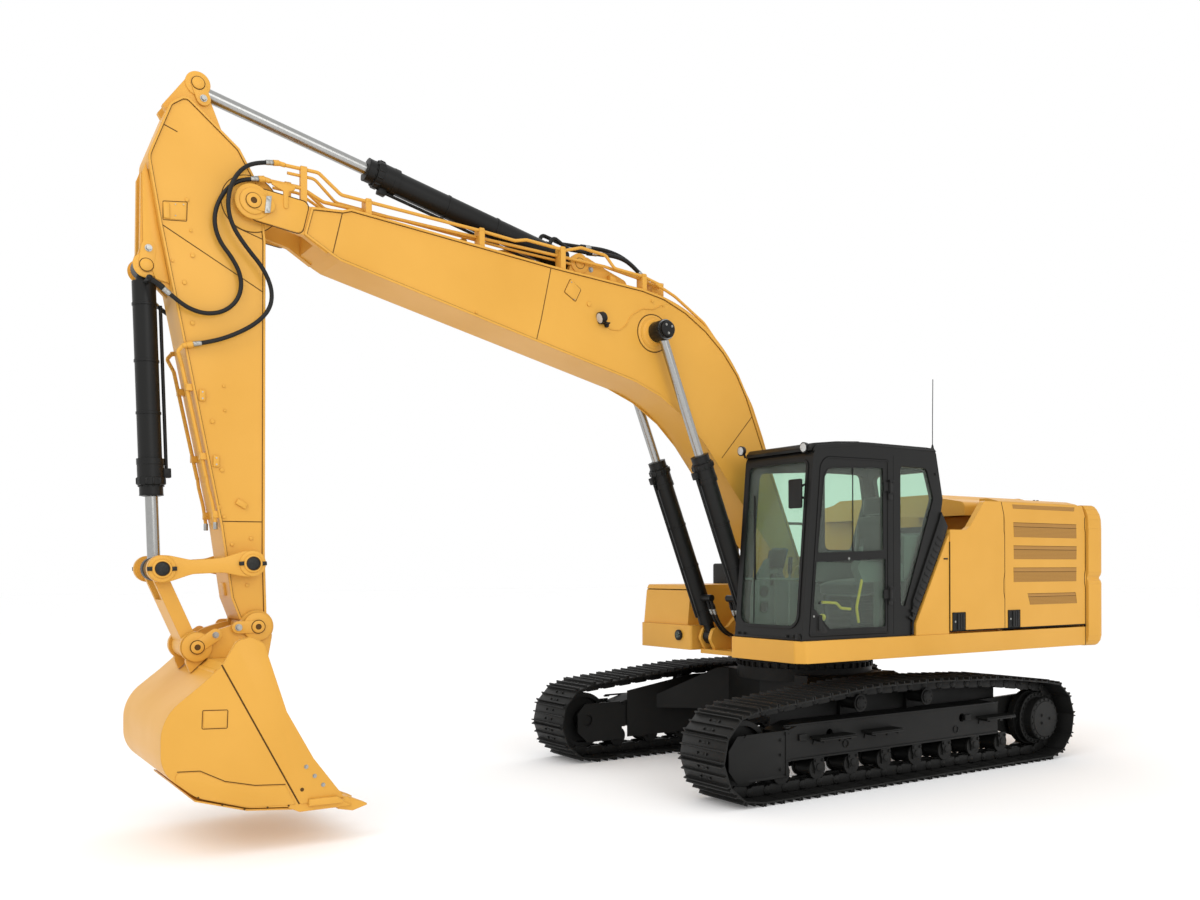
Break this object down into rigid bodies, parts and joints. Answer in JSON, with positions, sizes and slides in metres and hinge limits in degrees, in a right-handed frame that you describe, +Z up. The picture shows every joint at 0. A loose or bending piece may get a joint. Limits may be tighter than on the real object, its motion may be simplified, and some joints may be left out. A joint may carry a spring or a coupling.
{
  "type": "crawler excavator",
  "caption": "Hydraulic crawler excavator with a glazed cab, swinging upper body, one-piece boom, stick and bucket, all worked by cylinders, on steel tracks.",
  "frame": {"origin": "on the slewing axis, at the height of the ground", "axes": "+X forwards towards the bucket, +Y to the left, where the cab is, +Z up"},
  "size_m": [9.8619, 3.19, 5.6889],
  "materials": {
    "undercarriage_paint": "satin",
    "ring_paint": "satin",
    "yellow_paint": "gloss",
    "engine_iron": "matte",
    "dark_plastic": "matte",
    "black_paint": "satin",
    "cab_window": "gloss",
    "seat_cover": "matte",
    "chromed_rod": "polished",
    "tooth_steel": "satin",
    "hose_rubber": "matte"
  },
  "bodies": {
    "base": {"carbody": "undercarriage_paint", "slewing_ring_lower": "undercarriage_paint", "track_frame_left": "undercarriage_paint", "track_frame_right": "undercarriage_paint", "track_left": "undercarriage_paint", "track_right": "undercarriage_paint", "front_idlers": "undercarriage_paint", "drive_sprockets": "undercarriage_paint", "bottom_rollers": "undercarriage_paint", "carrier_rollers": "undercarriage_paint"},
    "house": {"slewing_ring_upper": "ring_paint", "upper_frame": "yellow_paint", "left_deck": "yellow_paint", "right_deck": "yellow_paint", "counterweight": "yellow_paint", "engine": "engine_iron", "rear_body": "yellow_paint", "left_panel": "yellow_paint", "fuel_tank": "yellow_paint", "hydraulic_tank": "yellow_paint", "side_locker": "dark_plastic", "toolbox": "yellow_paint", "handrails": "black_paint", "cab_shell": "black_paint", "cab_glass": "cab_window", "operator_seat": "seat_cover", "cab_controls": "dark_plastic", "boom_cylinder_hose_left_1": "hose_rubber", "boom_cylinder_hose_left_2": "hose_rubber", "boom_cylinder_hose_right_1": "hose_rubber", "boom_cylinder_hose_right_2": "hose_rubber"},
    "left_front_door": {"left_front_door": "yellow_paint"},
    "left_rear_door": {"left_rear_door": "yellow_paint"},
    "right_side_door": {"right_side_door": "yellow_paint"},
    "engine_hood": {"engine_hood": "yellow_paint"},
    "toolbox_lid": {"toolbox_lid": "yellow_paint"},
    "cab_door": {"cab_door": "black_paint", "cab_door_glass": "cab_window"},
    "roof_hatch": {"roof_hatch": "black_paint"},
    "boom": {"boom": "yellow_paint", "boom_line_fittings": "yellow_paint", "stick_line_hose_left": "hose_rubber", "stick_line_hose_right": "hose_rubber", "bucket_cylinder_hose_left": "hose_rubber", "bucket_cylinder_hose_right": "hose_rubber", "stick_cylinder_hose_1": "hose_rubber", "stick_cylinder_hose_2": "hose_rubber"},
    "boom_cylinder_barrels": {"boom_cylinder_barrels": "black_paint"},
    "boom_cylinder_rods": {"boom_cylinder_rods": "chromed_rod"},
    "stick": {"stick": "yellow_paint", "stick_line_fittings": "yellow_paint"},
    "stick_cylinder_barrel": {"stick_cylinder_barrel": "black_paint"},
    "stick_cylinder_rod": {"stick_cylinder_rod": "chromed_rod"},
    "bucket_cylinder_barrel": {"bucket_cylinder_barrel": "black_paint"},
    "bucket_cylinder_rod": {"bucket_cylinder_rod": "chromed_rod"},
    "idler_links": {"idler_links": "yellow_paint"},
    "power_link": {"power_link": "yellow_paint"},
    "bucket": {"bucket": "yellow_paint", "bucket_ears": "yellow_paint", "bucket_teeth": "tooth_steel"}
  },
  "joints": [
    {"name": "swing", "type": "hinge", "parent": "base", "child": "house", "pos_m": [0, 0, 1.07], "axis": [0, 0, 1], "continuous": true},
    {"name": "boom_lift", "type": "hinge", "parent": "house", "child": "boom", "pos_m": [0.33, 0, 1.935], "axis": [0, -1, 0], "range_deg": [-72, 35]},
    {"name": "stick_swing", "type": "hinge", "parent": "boom", "child": "stick", "pos_m": [5.811, 0, 4.771], "axis": [0, 1, 0], "range_deg": [-81, 35], "deforming": ["stick_line_hose_left", "stick_line_hose_right", "bucket_cylinder_hose_left", "bucket_cylinder_hose_right"]},
    {"name": "bucket_curl", "type": "hinge", "parent": "stick", "child": "bucket", "pos_m": [5.784, 0, 1.585], "axis": [0, 1, 0], "range_deg": [-65, 103]},
    {"name": "boom_cylinder_turn", "type": "hinge", "parent": "house", "child": "boom_cylinder_barrels", "pos_m": [0.968, 0, 1.306], "axis": [0, 1, 0], "range_deg": [-35, 72], "deforming": ["boom_cylinder_hose_left_1", "boom_cylinder_hose_left_2", "boom_cylinder_hose_right_1", "boom_cylinder_hose_right_2"]},
    {"name": "boom_cylinder_stroke", "type": "slide", "parent": "boom_cylinder_barrels", "child": "boom_cylinder_rods", "axis": [0.369, 0, 0.9294], "range_m": [-1.02, 0.5]},
    {"name": "stick_cylinder_turn", "type": "hinge", "parent": "boom", "child": "stick_cylinder_barrel", "pos_m": [2.861, 0, 4.79], "axis": [0, 1, 0], "range_deg": [-6, 3], "deforming": ["stick_cylinder_hose_1", "stick_cylinder_hose_2"]},
    {"name": "stick_cylinder_stroke", "type": "slide", "parent": "stick_cylinder_barrel", "child": "stick_cylinder_rod", "axis": [0.9709, 0, 0.2394], "range_m": [-1.19, 0.52]},
    {"name": "bucket_cylinder_turn", "type": "hinge", "parent": "stick", "child": "bucket_cylinder_barrel", "pos_m": [6.533, 0, 4.211], "axis": [0, 1, 0], "range_deg": [-3, 4]},
    {"name": "bucket_cylinder_stroke", "type": "slide", "parent": "bucket_cylinder_barrel", "child": "bucket_cylinder_rod", "axis": [-0.0315, 0, -0.9995], "range_m": [-0.44, 0.69]},
    {"name": "idler_link_turn", "type": "hinge", "parent": "stick", "child": "idler_links", "pos_m": [5.829, 0, 2.058], "axis": [0, 1, 0], "range_deg": [-44, 70]},
    {"name": "power_link_turn", "type": "hinge", "parent": "bucket", "child": "power_link", "pos_m": [6.22, 0, 1.449], "axis": [0, 1, 0], "range_deg": [-77, 49]},
    {"name": "cab_door_hinge", "type": "hinge", "parent": "house", "child": "cab_door", "pos_m": [0.232, 1.42, 2.2], "axis": [0, 0, 1], "range_deg": [0, 150]},
    {"name": "roof_hatch_hinge", "type": "hinge", "parent": "house", "child": "roof_hatch", "pos_m": [-0.14, 0.94, 3.1753], "axis": [0, -1, 0], "range_deg": [0, 75]},
    {"name": "left_front_door_hinge", "type": "hinge", "parent": "house", "child": "left_front_door", "pos_m": [-1.452, 1.436, 2], "axis": [0, 0, 1], "range_deg": [0, 100]},
    {"name": "left_rear_door_hinge", "type": "hinge", "parent": "house", "child": "left_rear_door", "pos_m": [-2.866, 1.436, 2], "axis": [0, 0, 1], "range_deg": [0, 95]},
    {"name": "right_side_door_hinge", "type": "hinge", "parent": "house", "child": "right_side_door", "pos_m": [-2.866, -1.436, 2], "axis": [0, 0, -1], "range_deg": [0, 95]},
    {"name": "engine_hood_hinge", "type": "hinge", "parent": "house", "child": "engine_hood", "pos_m": [-1.24, 0, 2.8], "axis": [0, 1, 0], "range_deg": [0, 55]},
    {"name": "toolbox_lid_hinge", "type": "hinge", "parent": "house", "child": "toolbox_lid", "pos_m": [0.124, -1, 1.838], "axis": [0, -1, 0], "range_deg": [0, 70]}
  ],
  "couplings": [
    {"joint": "boom_cylinder_turn", "follows": "boom_lift", "ratio": -0.9864},
    {"joint": "boom_cylinder_stroke", "follows": "boom_lift", "m_per_rad": 0.8},
    {"joint": "stick_cylinder_turn", "follows": "stick_swing", "ratio": 0.0675},
    {"joint": "stick_cylinder_stroke", "follows": "stick_swing", "m_per_rad": 0.8318},
    {"joint": "bucket_cylinder_turn", "follows": "bucket_curl", "ratio": 0.0348},
    {"joint": "bucket_cylinder_stroke", "follows": "bucket_curl", "m_per_rad": 0.3809},
    {"joint": "idler_link_turn", "follows": "bucket_curl", "ratio": 0.67},
    {"joint": "power_link_turn", "follows": "bucket_curl", "ratio": -0.735}
  ]
}
